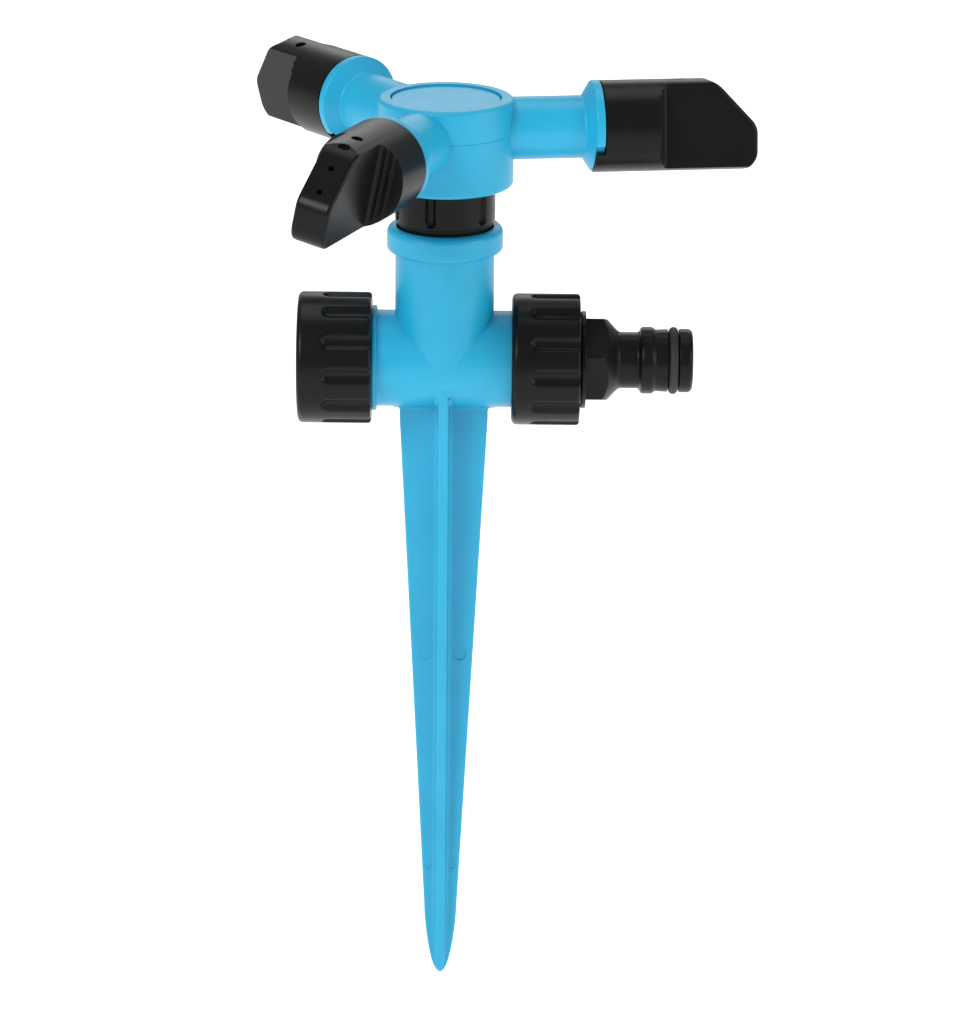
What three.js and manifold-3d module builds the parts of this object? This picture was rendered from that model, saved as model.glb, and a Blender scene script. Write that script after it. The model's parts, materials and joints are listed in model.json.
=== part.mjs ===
// Rotating three-arm garden sprinkler on a ground spike, in millimetres, +Z up.
// The origin lies on the spike's axis at ground level, and +X points to the hose inlet.
import * as THREE from "three";
import { mergeVertices } from "three/addons/utils/BufferGeometryUtils.js";
import Module from "manifold-3d";

const wasm = await Module();
wasm.setup();

// ---- driving dimensions -------------------------------------------------------------------

const GAP = 0.3; // between pieces that touch
const FACETS = 20; // sides of a round tube
const HUB_FACETS = 30;

// Base: cross tube, riser and spike in one moulding
const CROSS_Z = 20; // cross tube's axis above the ground
const TUBE_R = 12.1; // cross tube, outside
const TUBE_WALL = 2.6;
const RISER_R = 12.35; // riser, outside
const SOCKET_WALL = 1.85; // riser's wall around the stem's plug
const COLLAR_WALL = 1.55; // around the barb's groove
const COLLAR_BOTTOM = 48.5;
const COLLAR_HEIGHT = 6.2;
const COLLAR_ROUND = 1.6;
const STOP_RING_HEIGHT = 1.1; // low ring before the end cap
const STOP_RING_WIDTH = 1.0;
const SPIKE_TOP_HALF = 11.1; // half width of the four wings under the cross tube
const SPIKE_LOW_HALF = 4.3; // half width where the point begins
const SPIKE_TOP_Z = 4.0;
const POINT_START_Z = -129.4;
const SPIKE_TIP_Z = -150;
const POINT_STEPS = 5; // stretches of the point's curve on each side
const WING = 2.5; // thickness of a wing
const WING_FILLET = 2; // where the side wings meet the cross tube

// Right-handed pipe thread on both ends of the cross tube
const PITCH = 1.814;
const THREAD_HEIGHT = 0.9;
const THREAD_FOOT_WIDTH = 1.25;
const THREAD_CREST_WIDTH = 0.35;
const THREAD_CLEARANCE = 0.45; // between a crest and the root that faces it
const THREAD_SUNK = 0.4; // foot of a ridge, inside the wall that carries it
const THREAD_RUNOUT = 3.4; // plain tube between a mouth and the first turn
const TUBE_TURNS = 3.6; // turns of ridge on the tube
const NUT_TURNS = 3; // turns of ridge in a nut or cap

// Fluted coupling nut and fluted end cap
const NUT_SIDE = 16.9; // riser's axis to the nut's mouth
const CAP_SIDE = 18.2; // riser's axis to the cap's mouth
const NUT_LENGTH = 17.1;
const CAP_LENGTH = 18.4;
const NUT_WALL = 3.05; // around the thread
const END_WALL = 3.1;
const NUT_SHOULDER = 2.0;
const NUT_EDGE = 0.8;
const CAP_EDGE = 1.3;
const FLUTES = 12;
const FLUTE_DEPTH = 1.1;
const FLUTE_WIDTH = 3.7;
const NUT_FLUTE_START = 4.4; // plain band from the nut's mouth
const CAP_FLUTE_END = 5.8; // plain band from the cap's closed end
const WASHER = 1.5; // flat rubber washers

// Hose adapter: clipped spigot, seat, hexagon, neck and quick-coupling nose
const WATERWAY_R = 4.5;
const SPIGOT_R = 8.0;
const SNAP = 0.9; // height and width of its bead
const SEAT_R = 12.2;
const SEAT = 1.2;
const HEX_FLATS = 20.2;
const HEX_LENGTH = 4.1;
const HEX_TAPER = 3.3; // length of the cone that ends the hexagon
const HEX_FOOT_R = 8.0; // small end of that cone
const HEX_TURN = 11; // degrees from +Y to the first flat
const NECK_R = 7.05;
const NECK_LENGTH = 6.2;
const NECK_SWEEP = 2.4; // length of the hollow curve down to the neck
const RIDGE_R = 8.4;
const RIDGE_LENGTH = 3.2;
const NOSE_R = 7.9;
const NOSE_LENGTH = 10.0;
const NOSE_TIP = 3.4; // tip flange beyond the O-ring's groove
const NOSE_ROUND = 0.9;
const NOSE_RING = 1.2; // radius of the nose O-ring's section
const NOSE_RING_PROUD = 0.55; // above the nose

// Swivel stem
const PLUG_LENGTH = 11.4;
const PLUG_RING_BELOW = 8.1; // plug's O-ring under the barb
const BARB_HEIGHT = 2.4; // above the plug
const BARB_WIDTH = 1.2;
const BARB_CATCH = 0.4; // under the collar's lip
const LIP = 2.1; // thickness of the collar's lip
const SHANK_PLAY = 0.5; // open ring between shank and lip
const GRIP_LIFT = 0.6; // grip above the collar
const GRIP_HEIGHT = 9.7;
const STEM_GRIP_R = 12.45;
const BEAD_HEIGHT = 1.6; // plain edge under the grip's grooves
const GROOVE_PAIRS = 3;
const GROOVE_R = 1.2;
const GROOVE_SPREAD = 65; // degrees between the grooves of a pair
const FIRST_GROOVE = -106.5; // degrees from +X about +Z
const JOURNAL_R = 7.0;
const JOURNAL_ABOVE = 3.9; // journal beyond the hub's floor
const STEM_BORE_R = 4.3;
const RUNNING_GAP = 0.3; // radial, between journal and hub
const RING = 0.6; // radius of the small O-rings' section
const RING_SIDE = 0.2; // room beside an O-ring in its groove
const RING_GROOVE = 1.15; // depth of a groove

// Rotating head
const HUB_R = 16.8;
const HUB_WALL = 3.6;
const HUB_ROUND = 1.2;
const HUB_FLOOR = 3.7;
const ARM_BORE_LIFT = 4.95; // arm's bore above the hub's floor
const HUB_CROWN = 0.5; // hub's rim above the arms
const THRUST = 0.8; // thickness of the thrust washers
const THRUST_WIDTH = 3.2;
const CLIP = 0.9; // thickness of the retaining clip
const CLIP_WIDTH = 2.2; // beyond the journal
const CLIP_OPENING = 50; // degrees
const LID_R = 13.6; // round lid in the hub's top
const LID = 1.5;
const LID_RECESS = 0.5; // lid below the hub's rim
const LID_REGISTER = 0.9; // depth of the ring that centres it
const ARMS = 3;
const FIRST_ARM = 7.5; // azimuth, degrees from +X about +Z
const ARM_R = 7.75;
const ARM_BORE_R = 5.0;
const FLARE_START = 33.9; // along an arm, from the head's axis
const FLARE_LENGTH = 2.3;
const FLANGE_LENGTH = 2.0;
const FLANGE_PROUD = 0.04; // beyond the nozzle
const NOTCH_START = 193; // stop notch, degrees about the arm's outward axis
const NOTCH_END = 320;
const NOTCH_DEPTH = 2.3;
const NOTCH_CORE = 1.6; // what the notch leaves around the spigot
const ARM_SPIGOT_R = 8.4;
const ARM_SPIGOT = 10.6; // beyond the flange
const ARM_SNAP = 0.6; // height of the spigot's snap bead
const ARM_RING_AT = 5.0; // O-ring beyond the flange

// Nozzles
const NOZZLE_WALL = 2.66; // around the arm's spigot
const BARREL_LENGTH = 13.5;
const BLADE_LENGTH = 25.5;
const BLADE = 8.8; // between the two flats
const BLADE_WALL = 2.2;
const BEVEL_LENGTH = 11.1; // along the arm, measured back from the end face
const BEVEL_ANGLE = 47; // below the top edge
const BROW_ROUND = 2.6; // setbacks of the blade's corners: where the bevel starts,
const CHIN_ROUND = 1.2; // where it ends,
const HEEL_ROUND = 3.4; // and under the end face
const LUG_START = 213; // stop lug, degrees about the outward axis with the nozzle upright
const LUG_END = 298;
const JET_R = 0.7;
const JET_MOUTH_R = 1.45;
const JET_MOUTH = 0.8; // depth of the counterbores on the top edge
const TOP_JETS = [6.1, 13.5]; // beyond the barrel
const BEVEL_JETS = [6.2, 12.6]; // down the bevel
const NOZZLES = [
  { side: "right", turn: -9 },
  { side: "back", turn: -15 },
  { side: "front", turn: -12 },
];

// ---- sizes and places that follow ---------------------------------------------------------

const MALE_CREST = TUBE_R + THREAD_HEIGHT;
const FEMALE_CREST = TUBE_R + THREAD_CLEARANCE;
const FEMALE_ROOT = MALE_CREST + THREAD_CLEARANCE;
const TUBE_BORE_R = TUBE_R - TUBE_WALL;
const GRIP_R = FEMALE_ROOT + NUT_WALL;
const NUT_END = NUT_SIDE + NUT_LENGTH;
const NUT_FLOOR = NUT_END - END_WALL;
const CAP_END = CAP_SIDE + CAP_LENGTH;
const CAP_FLOOR = CAP_END - END_WALL;
const WASHER_R = FEMALE_ROOT - GAP;
const NUT_TUBE_END = NUT_FLOOR - WASHER - 2 * GAP;
const CAP_TUBE_END = CAP_FLOOR - WASHER - 2 * GAP;

const COLLAR_TOP = COLLAR_BOTTOM + COLLAR_HEIGHT;
const BARB_TOP = COLLAR_TOP - LIP - GAP;
const BARB_BOTTOM = BARB_TOP - BARB_WIDTH;
const PLUG_BOTTOM = BARB_BOTTOM - PLUG_LENGTH;
const PLUG_R = RISER_R - SOCKET_WALL - GAP;
const BARB_R = PLUG_R + BARB_HEIGHT;
const MOUTH_R = BARB_R - BARB_CATCH;
const SHANK_R = MOUTH_R - SHANK_PLAY;
const COLLAR_R = BARB_R + GAP + COLLAR_WALL;
const PLUG_RING_Z = BARB_BOTTOM - PLUG_RING_BELOW;

const GRIP_BOTTOM = COLLAR_TOP + GRIP_LIFT;
const GRIP_TOP = GRIP_BOTTOM + GRIP_HEIGHT;
const HUB_BOTTOM = GRIP_TOP + GAP;
const HUB_FLOOR_TOP = HUB_BOTTOM + HUB_FLOOR;
const ARM_Z = HUB_FLOOR_TOP + ARM_BORE_LIFT + ARM_BORE_R;
const HUB_TOP = ARM_Z + ARM_R + HUB_CROWN;
const CHAMBER_R = HUB_R - HUB_WALL;
const LID_TOP = HUB_TOP - LID_RECESS;
const LID_BOTTOM = LID_TOP - LID;
const JOURNAL_TOP = HUB_FLOOR_TOP + JOURNAL_ABOVE;
const LOW_WASHER_Z = GRIP_TOP + GAP;
const LOW_WASHER_ROOM = LOW_WASHER_Z + THRUST + GAP;
const TOP_WASHER_Z = HUB_FLOOR_TOP + GAP;
const CLIP_Z = TOP_WASHER_Z + THRUST + GAP;
const SHAFT_RING_Z = (LOW_WASHER_ROOM + HUB_FLOOR_TOP) / 2;
const THRUST_R = JOURNAL_R + THRUST_WIDTH;

const NOZZLE_BORE_R = ARM_SPIGOT_R + GAP;
const NOZZLE_R = NOZZLE_BORE_R + NOZZLE_WALL;
const NOTCH_FLOOR_R = ARM_SPIGOT_R + NOTCH_CORE;
const FLANGE_R = NOZZLE_R + FLANGE_PROUD;
const FLANGE_END = FLARE_START + FLARE_LENGTH + FLANGE_LENGTH;
const ARM_ROOT = Math.sqrt(HUB_R ** 2 - ARM_R ** 2) - 0.5;
const ARM_RING_L = FLANGE_END + ARM_RING_AT;
const SPIGOT_END = FLANGE_END + ARM_SPIGOT;
const SPIGOT_BEAD = SPIGOT_END - 2 * ARM_SNAP;
const BARREL_START = FLANGE_END + GAP;
const BARREL_END = BARREL_START + BARREL_LENGTH;
const NOZZLE_END = BARREL_END + BLADE_LENGTH;
const BEVEL_START = NOZZLE_END - BEVEL_LENGTH;

// ---- materials ----------------------------------------------------------------------------

const blue = new THREE.MeshStandardMaterial({ color: "#2ba9d6", roughness: 0.42 });
const black = new THREE.MeshStandardMaterial({ color: "#222223", roughness: 0.5 });
const rubber = new THREE.MeshStandardMaterial({ color: "#161616", roughness: 0.85 });
const acetal = new THREE.MeshStandardMaterial({ color: "#e8e6e0", roughness: 0.5 });
const steel = new THREE.MeshStandardMaterial({ color: "#b9bcc0", roughness: 0.3, metalness: 1 });

// ---- shapes -------------------------------------------------------------------------------

const X = new THREE.Vector3(1, 0, 0);
const Y = new THREE.Vector3(0, 1, 0);
const Z = new THREE.Vector3(0, 0, 1);

// What is drawn about Z comes to lie about X: its x and y become Y and Z.
const ABOUT_X = new THREE.Matrix4().makeBasis(Y, Z, X);
// An outline drawn in x and y comes to stand in the XZ plane.
const UPRIGHT = new THREE.Matrix4().makeBasis(X, Z, Y.clone().negate());
const rad = THREE.MathUtils.degToRad;
const spun = (degrees) => new THREE.Matrix4().makeRotationZ(rad(degrees));
const shifted = (x, y, z) => new THREE.Matrix4().makeTranslation(x, y, z);
const ALONG_TUBE = shifted(0, 0, CROSS_Z).multiply(ABOUT_X);

function solid(geometry) {
  const bare = geometry.clone();
  bare.deleteAttribute("normal");
  bare.deleteAttribute("uv");
  const merged = mergeVertices(bare, 1e-4);
  return new wasm.Manifold(
    new wasm.Mesh({
      numProp: 3,
      vertProperties: merged.attributes.position.array,
      triVerts: new Uint32Array(merged.index.array),
    }),
  );
}

function surface(body) {
  const { vertProperties, triVerts } = body.getMesh();
  const geometry = new THREE.BufferGeometry();
  geometry.setAttribute("position", new THREE.BufferAttribute(vertProperties, 3));
  geometry.setIndex(new THREE.BufferAttribute(triVerts, 1));
  return geometry;
}

const moved = (body, matrix) => solid(surface(body).applyMatrix4(matrix));
const joined = (bodies) => bodies.reduce((sum, body) => sum.add(body));
const cut = (body, tools) => tools.reduce((left, tool) => left.subtract(tool), body);

// A closed outline through corners [across, along, setback]; a setback rounds its corner.
function outline(corners, steps = 2) {
  const path = new THREE.Path();
  const count = corners.length;
  const point = (i) => new THREE.Vector2(...corners[(i + count) % count].slice(0, 2));
  corners.forEach(([, , setback = 0], i) => {
    const corner = point(i);
    const from = corner.clone().add(point(i - 1).sub(corner).setLength(setback));
    const to = corner.clone().add(point(i + 1).sub(corner).setLength(setback));
    if (i === 0) path.moveTo(from.x, from.y);
    else path.lineTo(from.x, from.y);
    if (setback) path.quadraticCurveTo(corner.x, corner.y, to.x, to.y);
  });
  path.closePath();
  return path.getPoints(steps);
}

// A turned solid about Z; its corners are [radius, height, setback], in either order.
function turned(corners, facets = FACETS) {
  const points = outline(corners);
  if (THREE.ShapeUtils.area(points) < 0) points.reverse();
  return solid(new THREE.LatheGeometry(points, facets).rotateX(Math.PI / 2));
}

function rod(radius, from, to, facets = FACETS) {
  return turned([[0, from], [radius, from], [radius, to], [0, to]], facets);
}

function pipe(inner, outer, from, to) {
  return turned([[inner, from], [outer, from], [outer, to], [inner, to]]);
}

// A rod about Z with round ends, used to cut flutes and grooves.
function capsule(radius, from, to) {
  const length = to - from - 2 * radius;
  const shape = new THREE.CapsuleGeometry(radius, length, 2, 6);
  return solid(shape.rotateX(Math.PI / 2).translate(0, 0, (from + to) / 2));
}

// An outline in the XZ plane, thickened evenly to both sides.
function plate(corners, thickness) {
  const shape = new THREE.Shape(outline(corners));
  const slab = new THREE.ExtrudeGeometry(shape, { depth: thickness, bevelEnabled: false });
  return solid(slab.translate(0, 0, -thickness / 2).applyMatrix4(UPRIGHT));
}

// Part of a ring about Z, between two angles in degrees.
function sector(inner, outer, start, end, from, to) {
  const shape = new THREE.Shape();
  shape.absarc(0, 0, outer, rad(start), rad(end), false);
  shape.absarc(0, 0, inner, rad(end), rad(start), true);
  const extrusion = { depth: to - from, bevelEnabled: false, curveSegments: 6 };
  return solid(new THREE.ExtrudeGeometry(shape, extrusion).translate(0, 0, from));
}

// An O-ring about Z that sits just clear of the bottom of its groove.
function oRing(grooveRadius, section, height) {
  const radius = grooveRadius + section + 0.05;
  const torus = new THREE.TorusGeometry(radius, section, 5, FACETS);
  return solid(torus.translate(0, 0, height));
}

// Corners of a groove for an O-ring, cut into a shaft's outline from below upwards.
function ringGroove(shaft, depth, section, height) {
  const half = section + RING_SIDE;
  return [
    [shaft, height - half],
    [shaft - depth, height - half],
    [shaft - depth, height + half],
    [shaft, height + half],
  ];
}

// A right-handed helical ridge about Z that winds up from a height; its foot lies inside the wall.
function threadRidge(foot, crest, from, turns) {
  const steps = Math.round(turns * FACETS);
  const positions = [];
  const faces = [];
  const quad = (a, b, c, d) => faces.push(a, b, c, a, c, d);
  for (let i = 0; i <= steps; i += 1) {
    const angle = (i / FACETS) * 2 * Math.PI;
    const middle = from + THREAD_FOOT_WIDTH / 2 + (i / FACETS) * PITCH;
    const section = [
      [foot, middle - THREAD_FOOT_WIDTH / 2],
      [crest, middle - THREAD_CREST_WIDTH / 2],
      [crest, middle + THREAD_CREST_WIDTH / 2],
      [foot, middle + THREAD_FOOT_WIDTH / 2],
    ];
    for (const [r, z] of section) positions.push(r * Math.cos(angle), r * Math.sin(angle), z);
  }
  for (let i = 0; i < 4 * steps; i += 1) {
    const next = i % 4 === 3 ? i - 3 : i + 1;
    quad(i, i + 4, next + 4, next);
  }
  const last = 4 * steps;
  quad(0, 1, 2, 3);
  quad(last + 3, last + 2, last + 1, last);
  if (crest < foot) faces.reverse();
  const geometry = new THREE.BufferGeometry();
  geometry.setAttribute("position", new THREE.Float32BufferAttribute(positions, 3));
  geometry.setIndex(faces);
  return solid(geometry);
}

// ---- base ---------------------------------------------------------------------------------

// Two opposite wings of the spike with their share of the point.
function spikeBlade(top) {
  const point = Array.from({ length: POINT_STEPS }, (_, i) => {
    const share = Math.sin(((i + 1) / POINT_STEPS) * (Math.PI / 2));
    const half = SPIKE_LOW_HALF * Math.sqrt(1 - share ** 1.5);
    return [half, POINT_START_Z + share * (SPIKE_TIP_Z - POINT_START_Z)];
  });
  const right = [
    [SPIKE_TOP_HALF, top],
    [SPIKE_TOP_HALF, SPIKE_TOP_Z],
    [SPIKE_LOW_HALF, POINT_START_Z],
    ...point,
  ];
  const left = right.slice(0, -1).map(([half, z]) => [-half, z]);
  return plate([...right, ...left.reverse()], WING);
}

// Flares the side wings out to the underside of the cross tube.
function wingFillets() {
  const underside = CROSS_Z - TUBE_R;
  const low = underside - WING_FILLET;
  const out = SPIKE_TOP_HALF + WING_FILLET;
  return plate(
    [
      [-SPIKE_TOP_HALF, low],
      [SPIKE_TOP_HALF, low],
      [out, underside],
      [out, underside + 1],
      [-out, underside + 1],
      [-out, underside],
    ],
    WING,
  );
}

// The threaded end of the cross tube, drawn about Z from the riser's axis outwards.
function threadedTube(mouth, end) {
  const start = mouth + THREAD_RUNOUT;
  const ridge = threadRidge(TUBE_R - THREAD_SUNK, MALE_CREST, start, TUBE_TURNS);
  return joined([rod(TUBE_R, 0, end), ridge]);
}

function baseBody() {
  const stopRing = rod(TUBE_R + STOP_RING_HEIGHT, CAP_SIDE - GAP - STOP_RING_WIDTH, CAP_SIDE - GAP);
  const capEnd = joined([threadedTube(CAP_SIDE, CAP_TUBE_END), stopRing]);
  const riser = turned([
    [0, CROSS_Z],
    [RISER_R, CROSS_Z],
    [RISER_R, COLLAR_BOTTOM],
    [COLLAR_R, COLLAR_BOTTOM, COLLAR_ROUND],
    [COLLAR_R, COLLAR_TOP, COLLAR_ROUND],
    [0, COLLAR_TOP],
  ]);
  const moulding = joined([
    moved(threadedTube(NUT_SIDE, NUT_TUBE_END), ALONG_TUBE),
    moved(capEnd, spun(180).multiply(ALONG_TUBE)),
    riser,
    spikeBlade(CROSS_Z - TUBE_R + 1),
    moved(spikeBlade(CROSS_Z), spun(90)),
    wingFillets(),
  ]);
  const tubeBore = rod(TUBE_BORE_R, -CAP_TUBE_END - 1, NUT_TUBE_END + 1);
  const socket = turned([
    [0, CROSS_Z],
    [TUBE_BORE_R - 1, CROSS_Z],
    [TUBE_BORE_R - 1, PLUG_BOTTOM - GAP],
    [PLUG_R + GAP, PLUG_BOTTOM - GAP],
    [PLUG_R + GAP, BARB_BOTTOM - GAP],
    [BARB_R + GAP, BARB_BOTTOM - GAP],
    [BARB_R + GAP, BARB_TOP + GAP],
    [MOUTH_R, BARB_TOP + GAP],
    [MOUTH_R, COLLAR_TOP + 1],
    [0, COLLAR_TOP + 1],
  ]);
  return cut(moulding, [moved(tubeBore, ALONG_TUBE), socket]);
}

// ---- coupling nut, end cap and hose adapter, drawn about Z from the riser's axis outwards --

function flutes(from, to) {
  const radius = ((FLUTE_WIDTH / 2) ** 2 + FLUTE_DEPTH ** 2) / (2 * FLUTE_DEPTH);
  const cutter = capsule(radius, from, to);
  const out = shifted(GRIP_R - FLUTE_DEPTH + radius, 0, 0);
  const turns = Array.from({ length: FLUTES }, (_, i) => spun((i * 360) / FLUTES));
  return turns.map((turn) => moved(cutter, turn.multiply(out)));
}

// The nut's ridge runs half a pitch off the tube's, and starts nearer the mouth.
function femaleThread(mouth) {
  const start = mouth + THREAD_RUNOUT - 1.5 * PITCH;
  return threadRidge(FEMALE_ROOT + THREAD_SUNK, FEMALE_CREST, start, NUT_TURNS);
}

function couplingNut() {
  const shell = turned([
    [FEMALE_ROOT, NUT_SIDE],
    [GRIP_R, NUT_SIDE, NUT_SHOULDER],
    [GRIP_R, NUT_END, NUT_EDGE],
    [SPIGOT_R + GAP, NUT_END],
    [SPIGOT_R + GAP, NUT_FLOOR],
    [FEMALE_ROOT, NUT_FLOOR],
  ]);
  const fluted = cut(shell, flutes(NUT_SIDE + NUT_FLUTE_START, NUT_END + 2 * FLUTE_WIDTH));
  return joined([fluted, femaleThread(NUT_SIDE)]);
}

function endCap() {
  const shell = turned([
    [FEMALE_ROOT, CAP_SIDE],
    [GRIP_R, CAP_SIDE, NUT_EDGE],
    [GRIP_R, CAP_END, CAP_EDGE],
    [0, CAP_END],
    [0, CAP_FLOOR],
    [FEMALE_ROOT, CAP_FLOOR],
  ]);
  const fluted = cut(shell, flutes(CAP_SIDE - 2 * FLUTE_WIDTH, CAP_END - CAP_FLUTE_END));
  return joined([fluted, femaleThread(CAP_SIDE)]);
}

const BEAD_START = NUT_FLOOR - GAP - SNAP;
const SEAT_START = NUT_END + GAP;
const HEX_START = SEAT_START + SEAT;
const HEX_END = HEX_START + HEX_LENGTH + HEX_TAPER;
const RIDGE_START = HEX_END + NECK_LENGTH;
const NOSE_START = RIDGE_START + RIDGE_LENGTH;
const NOSE_END = NOSE_START + NOSE_LENGTH;
const NOSE_RING_AT = NOSE_END - NOSE_TIP - NOSE_RING - RING_SIDE;
const NOSE_GROOVE = 2 * NOSE_RING + 0.05 - NOSE_RING_PROUD;

function hoseAdapter() {
  const hexRound = HEX_FLATS / 2 / Math.cos(Math.PI / 6);
  const hexEdge = turned([
    [0, HEX_START],
    [hexRound, HEX_START],
    [hexRound, HEX_END - HEX_TAPER],
    [HEX_FOOT_R, HEX_END],
    [0, HEX_END],
  ]);
  const hexagon = moved(rod(hexRound, HEX_START, HEX_END, 6), spun(HEX_TURN)).intersect(hexEdge);
  const body = turned([
    [0, BEAD_START],
    [SPIGOT_R + SNAP, BEAD_START],
    [SPIGOT_R + SNAP, BEAD_START + SNAP],
    [SPIGOT_R, BEAD_START + SNAP],
    [SPIGOT_R, SEAT_START],
    [SEAT_R, SEAT_START],
    [SEAT_R, HEX_START],
    [HEX_FOOT_R, HEX_START],
    [HEX_FOOT_R, HEX_END],
    [NECK_R, HEX_END + NECK_SWEEP / 3, NECK_SWEEP / 2],
    [NECK_R, RIDGE_START],
    [RIDGE_R, RIDGE_START, 0.5],
    [RIDGE_R, NOSE_START, 0.5],
    [NOSE_R, NOSE_START],
    ...ringGroove(NOSE_R, NOSE_GROOVE, NOSE_RING, NOSE_RING_AT),
    [NOSE_R, NOSE_END, NOSE_ROUND],
    [0, NOSE_END],
  ]);
  return cut(joined([body, hexagon]), [rod(WATERWAY_R, BEAD_START - 1, NOSE_END + 1)]);
}

// ---- swivel stem --------------------------------------------------------------------------

function swivelStem() {
  const clipGroove = CLIP_Z + CLIP / 2;
  const body = turned([
    [STEM_BORE_R, PLUG_BOTTOM],
    [PLUG_R, PLUG_BOTTOM],
    ...ringGroove(PLUG_R, RING_GROOVE, RING, PLUG_RING_Z),
    [PLUG_R, BARB_BOTTOM],
    [BARB_R, BARB_BOTTOM],
    [BARB_R, BARB_TOP],
    [SHANK_R, BARB_TOP],
    [SHANK_R, GRIP_BOTTOM],
    [STEM_GRIP_R, GRIP_BOTTOM, 0.4],
    [STEM_GRIP_R, GRIP_TOP, 0.3],
    [JOURNAL_R, GRIP_TOP],
    ...ringGroove(JOURNAL_R, RING_GROOVE, RING, SHAFT_RING_Z),
    ...ringGroove(JOURNAL_R, RING_GROOVE, CLIP / 2, clipGroove),
    [JOURNAL_R, JOURNAL_TOP],
    [STEM_BORE_R, JOURNAL_TOP],
  ]);
  const cutter = capsule(GROOVE_R, GRIP_BOTTOM + BEAD_HEIGHT, GRIP_TOP + 2 * GROOVE_R);
  const out = shifted(STEM_GRIP_R, 0, 0);
  const grooves = [];
  for (let pair = 0; pair < GROOVE_PAIRS; pair += 1) {
    const first = FIRST_GROOVE + (pair * 360) / GROOVE_PAIRS;
    grooves.push(moved(cutter, spun(first).multiply(out)));
    grooves.push(moved(cutter, spun(first + GROOVE_SPREAD).multiply(out)));
  }
  return cut(body, grooves);
}

function retainingClip() {
  const inner = JOURNAL_R - RING_GROOVE + GAP;
  const half = CLIP_OPENING / 2;
  return sector(inner, JOURNAL_R + CLIP_WIDTH, half, 360 - half, CLIP_Z, CLIP_Z + CLIP);
}

// ---- rotating head ------------------------------------------------------------------------

// One arm about Z, outwards from the hub's wall, with its flange, stop notch and spigot.
function arm() {
  const body = turned([
    [0, ARM_ROOT],
    [ARM_R, ARM_ROOT],
    [ARM_R, FLARE_START],
    [FLANGE_R, FLARE_START + FLARE_LENGTH, 0.4],
    [FLANGE_R, FLANGE_END],
    [ARM_SPIGOT_R, FLANGE_END],
    ...ringGroove(ARM_SPIGOT_R, RING_GROOVE, RING, ARM_RING_L),
    [ARM_SPIGOT_R, SPIGOT_BEAD],
    [ARM_SPIGOT_R + ARM_SNAP, SPIGOT_BEAD],
    [ARM_SPIGOT_R, SPIGOT_END],
    [0, SPIGOT_END],
  ]);
  const notchFloor = FLANGE_END - NOTCH_DEPTH;
  return cut(body, [
    sector(NOTCH_FLOOR_R, FLANGE_R + 1, NOTCH_START, NOTCH_END, notchFloor, FLANGE_END + 1),
  ]);
}

function rotorHub() {
  const drum = turned([
    [0, HUB_BOTTOM],
    [HUB_R, HUB_BOTTOM, HUB_ROUND],
    [HUB_R, HUB_TOP, HUB_ROUND],
    [0, HUB_TOP],
  ], HUB_FACETS);
  const chamber = turned([
    [0, HUB_FLOOR_TOP],
    [CHAMBER_R, HUB_FLOOR_TOP],
    [CHAMBER_R, LID_BOTTOM - GAP],
    [LID_R + GAP, LID_BOTTOM - GAP],
    [LID_R + GAP, HUB_TOP + 1],
    [0, HUB_TOP + 1],
  ], HUB_FACETS);
  const journalBore = turned([
    [0, HUB_BOTTOM - 1],
    [THRUST_R + GAP, HUB_BOTTOM - 1],
    [THRUST_R + GAP, LOW_WASHER_ROOM],
    [JOURNAL_R + RUNNING_GAP, LOW_WASHER_ROOM],
    [JOURNAL_R + RUNNING_GAP, HUB_FLOOR_TOP + 1],
    [0, HUB_FLOOR_TOP + 1],
  ]);
  const armPlaces = Array.from({ length: ARMS }, (_, i) =>
    spun(FIRST_ARM + (i * 360) / ARMS).multiply(shifted(0, 0, ARM_Z)).multiply(ABOUT_X),
  );
  const arms = armPlaces.map((place) => moved(arm(), place));
  const armBore = rod(ARM_BORE_R, CHAMBER_R / 2, SPIGOT_END + 1);
  const armBores = armPlaces.map((place) => moved(armBore, place));
  return cut(joined([drum, ...arms]), [chamber, journalBore, ...armBores]);
}

function hubLid() {
  return turned([
    [0, LID_BOTTOM],
    [CHAMBER_R - GAP - 1, LID_BOTTOM],
    [CHAMBER_R - GAP - 1, LID_BOTTOM - LID_REGISTER],
    [CHAMBER_R - GAP, LID_BOTTOM - LID_REGISTER],
    [CHAMBER_R - GAP, LID_BOTTOM],
    [LID_R, LID_BOTTOM],
    [LID_R, LID_TOP, 0.3],
    [0, LID_TOP],
  ], HUB_FACETS);
}

// ---- nozzle, drawn along X as on an arm that points to +X --------------------------------

// Side view of the blade, or of the slot inside it with an inset of one wall.
function bladeOutline(start, inset) {
  const slope = rad(BEVEL_ANGLE);
  const top = NOZZLE_R - inset;
  const end = NOZZLE_END - inset;
  const bevelStart = BEVEL_START + inset / Math.tan(slope) - inset / Math.sin(slope);
  const bevelEnd = top - (end - bevelStart) * Math.tan(slope);
  return [
    [start, -top],
    [end, -top, HEEL_ROUND - inset / 2],
    [end, bevelEnd, CHIN_ROUND],
    [bevelStart, top, BROW_ROUND],
    [start, top],
  ];
}

// A jet's bore drawn about Z, from inside the slot out through the blade's edge.
function jet(mouthRadius) {
  const bore = rod(JET_R, -2 * BLADE_WALL, 1, 8);
  return joined([bore, rod(mouthRadius, -JET_MOUTH, 1, 8)]);
}

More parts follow.
